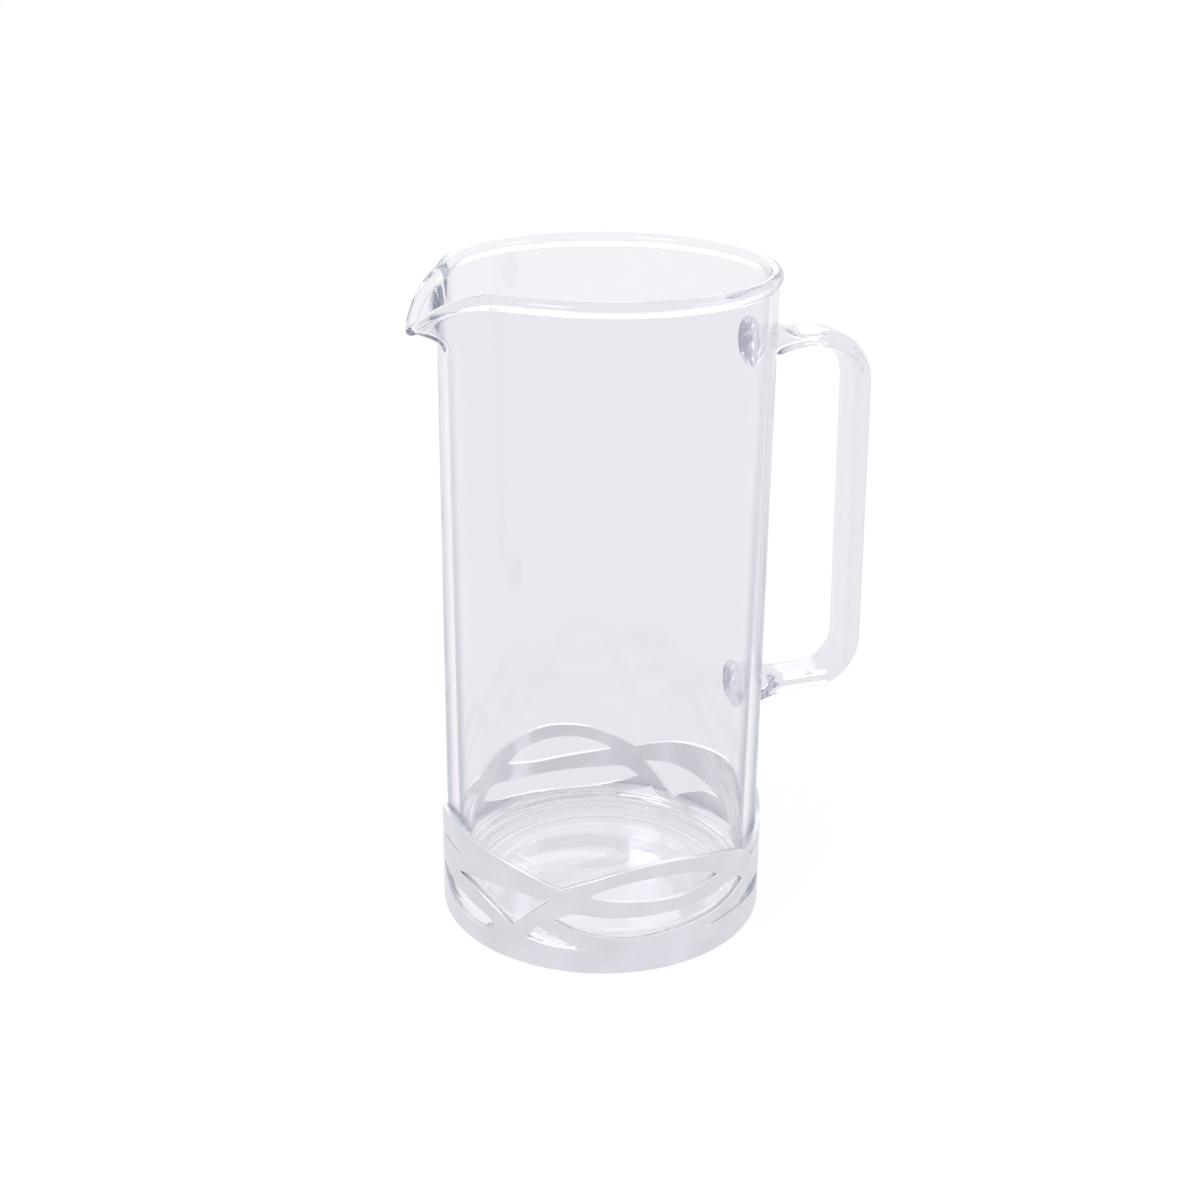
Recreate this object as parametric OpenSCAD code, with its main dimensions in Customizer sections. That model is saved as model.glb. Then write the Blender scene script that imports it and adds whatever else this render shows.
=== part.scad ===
// Tall clear glass carafe with a pulled pouring lip, a flat strap handle welded to the wall
// and a thin openwork metal sleeve of crossing waves around the foot.
// Millimetres. The origin is on the axis at the underside, +Z is up.
// The handle stands on +X and the pouring lip points to -X.

/* [Vessel] */
// Height from the resting face to the top of the rim
jug_h = 215; // [175:1:260]
// Outer diameter of the glass body
body_d = 103.2; // [86:0.2:124]
// Thickness of the glass wall near the rim
wall_t = 2.8; // [2.4:0.1:3.6]
// Thickness of the glass wall where it meets the rounded inside corner
foot_wall_t = 3.7; // [3:0.1:5]
// Thickness of the glass floor over the resting face
floor_t = 6; // [4:0.5:9]
// Radius of the inside corner between wall and floor
corner_r = 8.5; // [5:0.5:12]
// Radius of the outer edge at the foot
heel_r = 4; // [2:0.5:6]
// Width of the shallow hollow under the floor
punt_d = 74; // [50:1:76]
// Depth of the shallow hollow under the floor
punt_depth = 1.2; // [0.6:0.1:2]

/* [Rim and lip] */
// Width of the fire-rounded bead across the rim
bead_w = 4.7; // [4.7:0.1:5.5]
// Height of the bead along the wall
bead_h = 4.6; // [3.6:0.1:7]
// How far the bead stands out of the outer wall
bead_proud = 1; // [0.2:0.1:1]
// How far the lip is drawn out of the round
lip_reach = 11.2; // [6:0.1:13]
// How far the rim dips at the tip of the lip
lip_dip = 13.2; // [6:0.2:14]
// Height of the wall below the rim that the lip is drawn from
lip_h = 25; // [20:1:40]
// Half the angle of rim that is drawn outward
pull_angle = 24; // [20:1:38]
// Half the angle of rim that dips
dip_angle = 66; // [50:1:90]
// Share of the glass's thickness that is lost at the tip, where it is drawn out most
lip_thin = 0.3; // [0:0.05:0.4]

/* [Handle] */
// Distance from the top of the rim down to the centre line of the upper arm
upper_drop = 27.6; // [25:0.2:40]
// Height of the centre line of the lower arm
lower_z = 69.2; // [62:0.2:85]
// Clear space between the wall and the top of the grip
finger_gap = 31.8; // [28:0.2:42]
// How much further out the grip stands at its lower end
grip_lean = 2; // [0:0.5:4]
// Width of the strap across the grip
strap_w = 14.5; // [10:0.5:18]
// Thickness of the strap
strap_t = 5.8; // [4.6:0.2:9]
// Radius of the centre line in the upper bend
bend_r = 15.5; // [12:0.5:20]
// Radius of the centre line in the lower bend
low_bend_r = 13.5; // [11:0.5:20]
// Height of the glass welds on the wall
weld_h = 16; // [12:0.5:20]
// Width of the glass welds on the wall
weld_w = 16.5; // [14:0.5:22]
// Length over which a weld narrows to the strap
flare_len = 14; // [6:0.5:18]

/* [Sleeve] */
// Height of the sleeve at the crests of its waves
sleeve_h = 38.3; // [28:0.1:46]
// Thickness of the metal
sleeve_t = 1.6; // [0.8:0.1:2.4]
// Thickness of the adhesive film between glass and metal
sleeve_gap = 0.1; // [0.05:0.05:0.3]
// Height of the sleeve's lower edge above the resting face
sleeve_lift = 0.3; // [0.2:0.1:1.5]
// Angle from the handle to the lower notch of the wave outline
pattern_turn = 55; // [0:1:179]

/* [Hidden] */

body_r = body_d / 2;
root_z = jug_h - lip_h;
// radius of the sphere whose cap is the hollow under the floor
punt_r = (punt_d * punt_d / 4 + punt_depth * punt_depth) / (2 * punt_depth);

// lip: rounding of its tip in degrees, and the powers that shape it
tip_soft = 2.2;
pull_power = 1.3;
dip_power = 5.2;
rise_power = 3.5;
// angles around the rim, fine through the lip and coarser around the rest
lip_half = 40;
lip_step = 2;
rest_steps = 55;
// fractions of the lip's height that carry a row of points
lip_rows = [0, 0.25, 0.42, 0.55, 0.66, 0.76, 0.86];
heel_steps = 4;
bead_steps = 12;
corner_steps = 6;

// handle: air between weld and wall, points around the strap, steps in a bend
weld_film = 0.02;
strap_n = 24;
bend_steps = 12;
strap_power = 4;
weld_power = 2.2;
flare_power = 1.7;
flare_rows = [0, 0.12, 0.25, 0.4, 0.6, 0.8, 1];
weld_r = body_r + weld_film;
upper_z = jug_h - upper_drop;
grip_x = body_r + finger_gap + strap_t / 2;
// length of the shorter arm
arm_len = grip_x - max(bend_r, low_bend_r) - weld_r;
// angle by which the grip leans outward on its way down
lean = atan(grip_lean / (upper_z - lower_z - bend_r - low_bend_r));
flare = min(flare_len, arm_len);

// sleeve: repeats of the outline, degrees between columns, height that the outline is drawn for
repeats = 2;
repeat_deg = 360 / repeats;
col_step = 2;
cols = 360 / col_step;
drawn_h = 38.3;
sleeve_in = body_r + sleeve_gap;
sleeve_out = sleeve_in + sleeve_t;

// Wave outline and openings, as [degrees, height] knots on smooth curves.
// A curve with a corner has two stretches.
crest = [
    [[0, 29.4], [12, 33.8], [20, 36.3], [30, 37.9], [38, 38.3], [48, 37.3], [64, 34], [76, 29.6]],
    [[76, 29.6], [96, 30.9], [104, 32], [116, 36.4], [122, 37.7], [130, 38.1], [148, 36.3], [164, 33.8],
        [180, 29.4]]
];
leaf = [
    [[[54, 10.3], [66, 10], [80, 9.3], [92, 8.3], [104, 8.4]]],
    [[[54, 10.3], [66, 11.6], [80, 13.9], [86, 13.8], [92, 12.8], [104, 8.4]]]
];
low_crescent = [
    [[[112, 15], [118, 12.2], [124, 9.4], [132, 7.7], [142, 6.8], [150, 7.1], [156, 8.6]]],
    [[[112, 15], [116, 16.2], [120, 16.6], [132, 14.9], [144, 13.5], [152, 11.5], [156, 8.6]]]
];
low_fin = [
    [[[168, 9.9], [174, 9], [188, 8.5]]],
    [[[168, 9.9], [172, 15]], [[172, 15], [178, 12.2], [188, 8.5]]]
];
long_crescent = [
    [[[178, 18], [186, 15], [196, 13], [205, 12.3], [220, 13.2], [236, 14.7], [246, 16.6], [254, 19.5]]],
    [[[178, 18], [182, 20.2], [185, 21.2], [196, 20.3], [216, 20.1], [234, 21.1], [246, 22.8], [250, 22.2],
        [254, 19.5]]]
];
high_fin = [
    [[[134, 21.4], [144, 20.3], [156, 15.9], [162, 12.5]], [[162, 12.5], [168, 17.8], [176, 24.5]]],
    [[[134, 21.4], [144, 23.7], [162, 25.6], [176, 24.5]]]
];
lens = [
    [[[190, 27.6], [198, 26.2], [214, 25], [224, 25.2], [238, 28]]],
    [[[190, 27.6], [192, 29], [202, 32.2], [216, 33.4], [230, 31.6], [238, 28]]]
];
slit = [
    [[[78, 26.2], [84, 24.3], [92, 23.3], [102, 24], [112, 26], [122, 27.6], [138, 28.1]]],
    [[[78, 26.2], [92, 26.7], [112, 28.4], [122, 28.8], [138, 28.1]]]
];
// openings in rising order wherever two share a column
openings = [leaf, low_crescent, low_fin, long_crescent, high_fin, lens, slit];

// smooth angle from the lip's plane, outward pull and dip of the rim at that angle
function soft(p) = sqrt(p * p + tip_soft * tip_soft) - tip_soft;
function pull(p) = lip_reach * pow(max(0, 1 - soft(p) / pull_angle), pull_power);
function dip(p) = lip_dip * pow(max(0, 1 - soft(p) / dip_angle), dip_power);

// middle of the glass at fraction t of the lip's height, as [radius, height], and its direction upward
function rim_z(p) = jug_h - bead_h / 2 - dip(p);
function mid(p, t) = [
    body_r - wall_t / 2 + pull(p) * pow(t, rise_power),
    root_z + (rim_z(p) - root_z) * t
];
function up(p, t) =
    let (d = [pull(p) * rise_power * pow(t, rise_power - 1), rim_z(p) - root_z])
    d / norm(d);
function out(p, t) = [up(p, t)[1], -up(p, t)[0]];
// share of its thickness that the rim keeps at angle p, and thickness of the wall below it
function kept(p) = 1 - lip_thin * pull(p) / lip_reach;
function wall_at(p, t) = wall_t * (1 - (1 - kept(p)) * pow(t, rise_power));

// points of an arc about c, from angle a to angle b
function arc(c, r, a, b, n) =
    [for (i = [0:n]) let (t = a + (b - a) * i / n) c + r * [cos(t), sin(t)]];

// rounded bead that closes the wall at angle p
function bead(p) =
    let (
        u = up(p, 1),
        o = out(p, 1),
        k = kept(p),
        half = bead_w / 2,
        c = mid(p, 1) + o * (bead_proud + wall_t / 2 - half) * k,
        a = -acos(1 - bead_proud / half),
        b = 360 - acos(1 - (bead_proud + wall_t) / half)
    )
    [for (q = arc([0, 0], 1, a, b, bead_steps)) c + o * q[0] * half * k + u * q[1] * bead_h / 2 * k];

// section of the glass at angle p from the lip, up the outside from the resting face and down to the floor
function section(p) = concat(
    arc([body_r - heel_r, heel_r], heel_r, -90, 0, heel_steps),
    [for (t = lip_rows) mid(p, t) + out(p, t) * wall_at(p, t) / 2],
    bead(p),
    [for (t = reversed(lip_rows)) mid(p, t) - out(p, t) * wall_at(p, t) / 2],
    arc([body_r - foot_wall_t - corner_r, floor_t + corner_r], corner_r, 0, -90, corner_steps)
);

// angles of the sections, measured from the lip
rest_step = (360 - 2 * lip_half) / rest_steps;
lip_angles = concat(
    [for (p = [-lip_half:lip_step:lip_half]) p],
    [for (i = [1:rest_steps - 1]) lip_half + i * rest_step]
);
// the same angle counted both ways round
function signed(p) = p > 180 ? p - 360 : p;

module shell() {
    n = len(lip_angles);
    rings = [for (p = lip_angles) section(signed(p))];
    m = len(rings[0]);
    points = concat(
        [for (i = [0:n - 1]) for (q = rings[i])
            [-q[0] * cos(lip_angles[i]), -q[0] * sin(lip_angles[i]), q[1]]],
        [[0, 0, 0], [0, 0, floor_t]]
    );
    faces = concat(
        [for (i = [0:n - 1]) for (j = [0:m - 2])
            let (a = i * m + j, b = (i + 1) % n * m + j)
            each [[a, a + 1, b + 1], [a, b + 1, b]]],
        [for (i = [0:n - 1]) [n * m, i * m, (i + 1) % n * m]],
        [for (i = [0:n - 1]) [n * m + 1, (i + 1) % n * m + m - 1, i * m + m - 1]]
    );
    polyhedron(points, faces, convexity = 6);
}

module vessel() {
    color([0.87, 0.87, 0.9, 0.4])
        difference() {
            shell();
            translate([0, 0, punt_depth - punt_r]) sphere(r = punt_r, $fn = 180);
        }
}

// signed power, and a point of a rounded rectangle with half sizes a and b
function spow(v, e) = sign(v) * pow(abs(v), e);
function round_rect(a, b, e, q) = [a * spow(cos(q), 2 / e), b * spow(sin(q), 2 / e)];

// how much of the weld's spread is left at distance s from the wall
function spread(s) = pow(max(0, 1 - s / flare), flare_power);

// ring of the strap: centre c as [x, z], heading turned down by b degrees, distance s from the wall, scale k
function ring(c, b, s, k) =
    let (
        f = spread(s),
        h = (strap_t + (weld_h - strap_t) * f) / 2 * k,
        w = (strap_w + (weld_w - strap_w) * f) / 2 * k,
        e = strap_power + (weld_power - strap_power) * f
    )
    [for (i = [0:strap_n - 1])
        let (
            q = round_rect(h, w, e, 360 * i / strap_n),
            fall = (weld_r - sqrt(weld_r * weld_r - q[1] * q[1])) * f
        )
        [c[0] + sin(b) * q[0] - fall, q[1], c[1] + cos(b) * q[0]]];

// rings of one arm from the wall outward; the first two fill in the weld's face
function arm(z, b) = concat(
    [for (k = [1 / 3, 2 / 3]) ring([weld_r, z], b, 0, k)],
    [for (t = flare_rows) ring([weld_r + flare * t, z], b, flare * t, 1)]
);
// rings of a bend of radius r about the point [x, z], from heading a to heading b
function bend(x, z, r, a, b) =
    [for (i = [0:bend_steps])
        let (t = a + (b - a) * i / bend_steps)
        ring([x + r * sin(t), z + r * cos(t)], t, flare, 1)];
function reversed(v) = [for (i = [len(v) - 1:-1:0]) v[i]];

module handle() {
    rings = concat(
        arm(upper_z, 0),
        bend(grip_x - bend_r, upper_z - bend_r, bend_r, 0, 90 - lean),
        bend(grip_x - low_bend_r + grip_lean, lower_z + low_bend_r, low_bend_r, 90 - lean, 180),
        reversed(arm(lower_z, 180))
    );
    n = len(rings);
    m = strap_n;
    points = concat(
        [for (r = rings) for (p = r) p],
        [[weld_r, 0, upper_z], [weld_r, 0, lower_z]]
    );
    faces = concat(
        [for (i = [0:n - 2]) for (q = [0:m - 1])
            let (a = i * m + q, b = i * m + (q + 1) % m)
            each [[a, b, b + m], [a, b + m, a + m]]],
        [for (q = [0:m - 1]) [n * m, (q + 1) % m, q]],
        [for (q = [0:m - 1]) [n * m + 1, (n - 1) * m + q, (n - 1) * m + (q + 1) % m]]
    );
    color([0.87, 0.87, 0.9, 0.4]) polyhedron(points, faces, convexity = 4);
}

// smooth curve through knots: stretch that holds u, slope at a knot, height at u
function seg(k, u, i = 0) = (i >= len(k) - 2 || u <= k[i + 1][0]) ? i : seg(k, u, i + 1);
function slope(k, i) =
    let (a = max(i - 1, 0), b = min(i + 1, len(k) - 1))
    (k[b][1] - k[a][1]) / (k[b][0] - k[a][0]);
function curve(k, u) =
    let (i = seg(k, u), h = k[i + 1][0] - k[i][0], t = (u - k[i][0]) / h)
    (2 * t ^ 3 - 3 * t ^ 2 + 1) * k[i][1] + (t ^ 3 - 2 * t ^ 2 + t) * h * slope(k, i)
    + (3 * t ^ 2 - 2 * t ^ 3) * k[i + 1][1] + (t ^ 3 - t ^ 2) * h * slope(k, i + 1);
function edge(e, u) =
    let (hit = [for (s = e) if (u >= s[0][0] && u <= s[len(s) - 1][0]) s])
    curve(hit[0], u) * sleeve_h / drawn_h;

// an opening's ends, the angle u counted from its start, whether it reaches u or spans the step after it
function first(o) = o[0][0][0][0];
function last(o) = let (s = o[0][len(o[0]) - 1]) s[len(s) - 1][0];
function along(o, u) = u >= first(o) ? u : u + repeat_deg;
function touches(o, u) = along(o, u) >= first(o) && along(o, u) <= last(o);
function spans(o, u) = along(o, u) >= first(o) && along(o, u) + col_step <= last(o);
function is_tip(o, u) = along(o, u) == first(o) || along(o, u) == last(o);
function heights_at(o, u) =
    !touches(o, u) ? [] :
    is_tip(o, u) ? [edge(o[0], along(o, u))] :
    [edge(o[0], along(o, u)), edge(o[1], along(o, u))];

// heights of the points in the column at u, and places among them of an opening's lower and upper point
function column(u) = concat([0], [for (o = openings) for (z = heights_at(o, u)) z], [edge(crest, u)]);
function below(o, u) =
    let (before = [for (i = [0:o]) each i < o ? heights_at(openings[i], u) : []])
    1 + len(before);
function above(o, u) = below(o, u) + (is_tip(openings[o], u) ? 0 : 1);
function wrap(u) = u % repeat_deg;

// strips of metal between the openings in the step after u: ranges of points in its two columns
function strips(u) =
    let (
        v = u + col_step,
        open = [for (i = [0:len(openings) - 1]) if (spans(openings[i], u)) i],
        n = len(open)
    )
    [for (k = [0:n]) [
        k == 0 ? 0 : above(open[k - 1], u),
        k == n ? len(column(u)) - 1 : below(open[k], u),
        k == 0 ? 0 : above(open[k - 1], wrap(v)),
        k == n ? len(column(wrap(v))) - 1 : below(open[k], wrap(v))
    ]];

module sleeve() {
    columns = [for (i = [0:cols - 1]) column(wrap(i * col_step))];
    starts = [for (i = 0, s = 0; i < cols; s = s + 2 * len(columns[i]), i = i + 1) s];
    points = [for (i = [0:cols - 1]) for (z = columns[i]) for (r = [sleeve_in, sleeve_out])
        let (a = pattern_turn + i * col_step)
        [r * cos(a), r * sin(a), sleeve_lift + z]];
    faces = [for (i = [0:cols - 1]) for (s = strips(wrap(i * col_step)))
        let (
            l = [for (k = [s[0]:s[1]]) starts[i] + 2 * k],
            r = [for (k = [s[2]:s[3]]) starts[(i + 1) % cols] + 2 * k],
            nl = len(l) - 1,
            nr = len(r) - 1
        )
        each concat(
            [for (k = [0:1:nl - 1]) [r[0] + 1, l[k] + 1, l[k + 1] + 1]],
            [for (k = [0:1:nr - 1]) [l[nl] + 1, r[k + 1] + 1, r[k] + 1]],
            [for (k = [0:1:nl - 1]) [r[0], l[k + 1], l[k]]],
            [for (k = [0:1:nr - 1]) [l[nl], r[k], r[k + 1]]],
            [[l[0], l[0] + 1, r[0] + 1], [l[0], r[0] + 1, r[0]]],
            [[r[nr], r[nr] + 1, l[nl] + 1], [r[nr], l[nl] + 1, l[nl]]]
        )];
    color([0.83, 0.83, 0.86]) polyhedron(points, faces, convexity = 10);
}

vessel();
handle();
sleeve();
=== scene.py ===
"""Clear glass carafe with a pulled lip, a welded strap handle and an openwork satin-silver sleeve.

Laid out as an add-on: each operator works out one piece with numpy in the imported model's frame,
in metres, with +Z up, the handle on +X and the lip towards -X.
"""

import bpy
import numpy as np
from bpy.props import FloatProperty, FloatVectorProperty, PointerProperty
from mathutils import Matrix, Vector


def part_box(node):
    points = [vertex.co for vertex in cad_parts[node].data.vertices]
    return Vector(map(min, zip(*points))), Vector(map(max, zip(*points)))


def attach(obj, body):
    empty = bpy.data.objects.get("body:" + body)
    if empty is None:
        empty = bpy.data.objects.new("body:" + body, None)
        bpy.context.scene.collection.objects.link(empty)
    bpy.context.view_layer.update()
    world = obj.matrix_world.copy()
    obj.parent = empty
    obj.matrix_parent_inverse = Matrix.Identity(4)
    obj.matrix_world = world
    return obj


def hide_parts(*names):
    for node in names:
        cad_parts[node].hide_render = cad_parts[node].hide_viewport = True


bl_info = {
    "name": "Glass Carafe",
    "version": (1, 0, 0),
    "blender": (4, 5, 0),
    "location": "View3D > Sidebar > Carafe",
    "description": "Builds a clear glass carafe with an openwork silver sleeve, and a studio around it",
    "category": "Add Mesh",
}

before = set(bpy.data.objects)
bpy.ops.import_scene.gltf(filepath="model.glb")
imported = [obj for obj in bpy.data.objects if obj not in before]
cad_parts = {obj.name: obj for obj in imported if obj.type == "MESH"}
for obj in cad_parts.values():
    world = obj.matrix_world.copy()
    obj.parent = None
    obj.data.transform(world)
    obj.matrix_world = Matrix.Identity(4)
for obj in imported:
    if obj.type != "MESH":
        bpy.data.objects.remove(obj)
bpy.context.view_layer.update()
BODY = "root"
MM = 0.001

VESSEL_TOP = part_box("vessel")[1].z
SLEEVE_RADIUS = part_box("sleeve")[1].x
SLEEVE_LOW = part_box("sleeve")[0].z
SLEEVE_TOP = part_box("sleeve")[1].z


def linear(code):
    """Turns an sRGB hex colour such as #D4D3DC into linear red, green and blue."""
    c = np.array([int(code[i : i + 2], 16) for i in (1, 3, 5)]) / 255
    return tuple(np.where(c <= 0.04045, c / 12.92, ((c + 0.055) / 1.055) ** 2.4))


def length(name, description, default):
    """A size in metres that the panel shows."""
    return FloatProperty(
        name=name, description=description, default=default, min=0.0, unit="LENGTH", precision=5
    )


def colour(name, description, code):
    """A colour that the panel shows."""
    return FloatVectorProperty(
        name=name, description=description, default=linear(code), size=3, subtype="COLOR"
    )


class CARAFE_PG_vessel(bpy.types.PropertyGroup):
    """Sizes of the glass body, its bead and its lip."""

    height: length("Height", "From the resting face to the top of the rim", VESSEL_TOP)
    radius: length("Radius", "Outer radius of the body", 51.6 * MM)
    wall: length("Wall", "Thickness of the wall near the rim", 2.8 * MM)
    foot_wall: length("Foot wall", "Thickness of the wall above the inside corner", 3.7 * MM)
    floor: length("Floor", "Thickness of the floor", 6 * MM)
    corner: length("Corner", "Radius of the inside corner", 8.5 * MM)
    heel: length("Heel", "Radius of the outer edge at the foot", 4 * MM)
    punt_radius: length("Hollow radius", "Radius of the shallow hollow under the floor", 37 * MM)
    punt_depth: length("Hollow depth", "Depth of the shallow hollow under the floor", 1.2 * MM)
    bead_width: length("Bead width", "Width of the bead across the rim", 4.7 * MM)
    bead_height: length("Bead height", "Height of the bead along the wall", 4.6 * MM)
    bead_proud: length("Bead proud", "How far the bead stands out of the wall", 1 * MM)
    lip_reach: length("Lip reach", "How far the lip is drawn out", 11.1 * MM)
    lip_dip: length("Lip dip", "How far the rim dips at the lip's tip", 13.2 * MM)
    lip_height: length("Lip height", "Height of wall that the lip is drawn from", 25 * MM)


class CARAFE_PG_handle(bpy.types.PropertyGroup):
    """Sizes of the strap handle and its welds."""

    upper_z: length("Upper arm", "Height of the upper arm's centre line", 187.4 * MM)
    lower_z: length("Lower arm", "Height of the lower arm's centre line", 69.2 * MM)
    finger_gap: length("Finger gap", "Clear space between wall and grip", 31.79 * MM)
    lean: length("Lean", "How much further out the grip stands at its lower end", 2 * MM)
    width: length("Width", "Width of the strap", 14.5 * MM)
    thickness: length("Thickness", "Thickness of the strap", 5.8 * MM)
    bend: length("Upper bend", "Radius of the centre line in the upper bend", 15.5 * MM)
    low_bend: length("Lower bend", "Radius of the centre line in the lower bend", 13.5 * MM)
    weld_height: length("Weld height", "Height of a weld on the wall", 16 * MM)
    weld_width: length("Weld width", "Width of a weld on the wall", 16.5 * MM)
    flare: length("Flare", "Length over which a weld narrows to the strap", 14 * MM)
    sink: length("Sink", "How far the weld is run into the wall's glass", 1.0 * MM)


class CARAFE_PG_sleeve(bpy.types.PropertyGroup):
    """Sizes of the openwork sleeve."""

    radius: length("Radius", "Outer radius of the metal", SLEEVE_RADIUS)
    thickness: length("Thickness", "Thickness of the metal", 1.6 * MM)
    low: length("Lower edge", "Height of the lower edge", SLEEVE_LOW)
    high: length("Crest", "Height of the highest crest", SLEEVE_TOP)
    chamfer: length("Chamfer", "Width of the broken edges", 0.1 * MM)


class CARAFE_PG_finish(bpy.types.PropertyGroup):
    """Colours of the materials."""

    glass: colour("Glass", "Tint of one wall of the glass, seen straight", "#F3F2F6")
    strap: colour("Strap glass", "Tint of the handle's thicker glass, seen straight", "#E9E8EE")
    # Glass edge and Strap edge are painted shade: grey-blue laid along the glass's silhouettes in place
    # of dark surroundings seen in them.
    rim: colour("Glass edge", "Tint of the glass where the eye skims along it", "#4A5F86")
    strap_edge_shade: colour("Strap edge", "Tint of the handle's glass where the eye skims along it", "#D6D9E2")
    depth: colour("Glass depth", "Colour that long paths inside the glass turn to", "#8FA3BC")
    silver: colour("Silver", "Colour of the satin outer face", "#E1E0E8")
    # Silver edge is a painted highlight: the cut edges are coloured brighter than the satin face, as
    # light caught on them.
    silver_cut_highlight: colour("Silver edge", "Colour of the bright cut edges", "#F8F8FB")
    # Silver inside is polished metal, and it is also painted lighter than the outer face as light
    # falling on the sleeve's far side.
    silver_inner_lit: colour("Silver inside", "Colour of the polished inner face", "#FBFDF8")
    floor: colour("Floor", "Colour of the studio floor", "#FFFFFF")


class CARAFE_PG_settings(bpy.types.PropertyGroup):
    """All settings of the carafe."""

    vessel: PointerProperty(type=CARAFE_PG_vessel)
    handle: PointerProperty(type=CARAFE_PG_handle)
    sleeve: PointerProperty(type=CARAFE_PG_sleeve)
    finish: PointerProperty(type=CARAFE_PG_finish)


# Lip: rounding of its tip in degrees, half angles that are drawn out and that dip, and the powers
# of those curves.
TIP_SOFT = 2.2
PULL_ANGLE, PULL_POWER = 24.0, 1.3
DIP_ANGLE, DIP_POWER = 66.0, 5.2
RISE_POWER = 3.5
# Share of the glass's thickness that is lost at the tip of the lip.
LIP_THIN = 0.3
# Columns round the vessel: their number, their spacing at the lip as a share of an even one, and the
# power that spreads them behind it.
VESSEL_COLUMNS, LIP_CROWD, CROWD_POWER = 440, 0.45, 1.2
# Rows of the hollow and the floor, the heel, the wall, the bead and either side of the lip.
FLAT_ROWS, HEEL_ROWS, WALL_ROWS, BEAD_ROWS, LIP_ROWS = 8, 10, 14, 40, 22
# Share of a flat's radius that the fan at its pole takes, and share of the rise where the bead begins.
POLE_SHARE, BEAD_START = 0.08, 0.89

# Chill rings pressed into the inside corner of the base: their number, depth and steps across each.
RINGS, RING_DEPTH, RING_STEPS = 4, 0.5 * MM, 14

# Strap: rounding powers of its section along the grip and at a weld, and the power of the flare.
STRAP_POWER, WELD_POWER, FLARE_POWER = 4.0, 2.2, 1.7
# Rows of the strap in the wall's glass, in a flare or bend and in a plain arm, the power that draws a
# flare's rows towards the wall, and columns round the section.
SINK_ROWS, BEND_ROWS, ARM_ROWS, FLARE_CROWD, STRAP_COLUMNS = 3, 40, 6, 1.3, 96

# Sleeve: the outline repeats twice round the foot, from this angle, and is drawn for this height.
PATTERN_TURN, REPEAT, DRAWN_HEIGHT, COLUMN_STEP = 55.0, 180.0, 38.3, 0.5
# Distance in metres under which points of two strips are one, and degrees past which an edge is sharp.
MERGE, SHARP = 1e-7, 30
# Wave outline and openings as (degrees, millimetres) knots. A curve with corners has more stretches.
CREST = [
    [(0, 29.4), (12, 33.8), (20, 36.3), (30, 37.9), (38, 38.3), (48, 37.3), (64, 34), (76, 29.6)],
    [(76, 29.6), (96, 30.9), (104, 32), (116, 36.4), (122, 37.7), (130, 38.1), (148, 36.3), (164, 33.8)]
    + [(180, 29.4)],
]
LEAF = (
    [[(54, 10.3), (66, 10), (80, 9.3), (92, 8.3), (104, 8.4)]],
    [[(54, 10.3), (66, 11.6), (80, 13.9), (86, 13.8), (92, 12.8), (104, 8.4)]],
)
LOW_CRESCENT = (
    [[(112, 15), (118, 12.2), (124, 9.4), (132, 7.7), (142, 6.8), (150, 7.1), (156, 8.6)]],
    [[(112, 15), (116, 16.2), (120, 16.6), (132, 14.9), (144, 13.5), (152, 11.5), (156, 8.6)]],
)
LOW_FIN = (
    [[(168, 9.9), (174, 9), (188, 8.5)]],
    [[(168, 9.9), (172, 15)], [(172, 15), (178, 12.2), (188, 8.5)]],
)
LONG_CRESCENT = (
    [[(178, 18), (186, 15), (196, 13), (205, 12.3), (220, 13.2), (236, 14.7), (246, 16.6), (254, 19.5)]],
    [
        [(178, 18), (182, 20.2), (185, 21.2), (196, 20.3), (216, 20.1), (234, 21.1), (246, 22.8)]
        + [(250, 22.2), (254, 19.5)]
    ],
)
HIGH_FIN = (
    [[(134, 21.4), (144, 20.3), (156, 15.9), (162, 12.5)], [(162, 12.5), (168, 17.8), (176, 24.5)]],
    [[(134, 21.4), (144, 23.7), (162, 25.6), (176, 24.5)]],
)
LENS = (
    [[(190, 27.6), (198, 26.2), (214, 25), (224, 25.2), (238, 28)]],
    [[(190, 27.6), (192, 29), (202, 32.2), (216, 33.4), (230, 31.6), (238, 28)]],
)
SLIT = (
    [[(78, 26.2), (84, 24.3), (92, 23.3), (102, 24), (112, 26), (122, 27.6), (138, 28.1)]],
    [[(78, 26.2), (92, 26.7), (112, 28.4), (122, 28.8), (138, 28.1)]],
)
OPENINGS = [LEAF, LOW_CRESCENT, LOW_FIN, LONG_CRESCENT, HIGH_FIN, LENS, SLIT]
# Which side of the metal a face of the sleeve is on, and the attribute in which the material reads it.
FRONT, CUT, BACK, SIDE = 0.0, 0.5, 1.0, "metal_side"
# Places of a colour mix's sockets, which share their names with those for other kinds of value.
MIX_SHARE, MIX_A, MIX_B, MIX_RESULT = 0, 6, 7, 2


def add_piece(name, verts, faces, material, node):
    """Puts a closed surface into a new object at the origin, on the body and in place of a CAD node."""
    mesh = bpy.data.meshes.new(name)
    mesh.from_pydata(verts.tolist(), [], [tuple(f) for f in faces])
    if mesh.validate():
        raise RuntimeError(f"{name} has faces that Blender refuses")
    mesh.materials.append(material)
    mesh.shade_smooth()
    piece = bpy.data.objects.new(name, mesh)
    bpy.context.scene.collection.objects.link(piece)
    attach(piece, BODY)
    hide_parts(node)
    return piece


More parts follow.
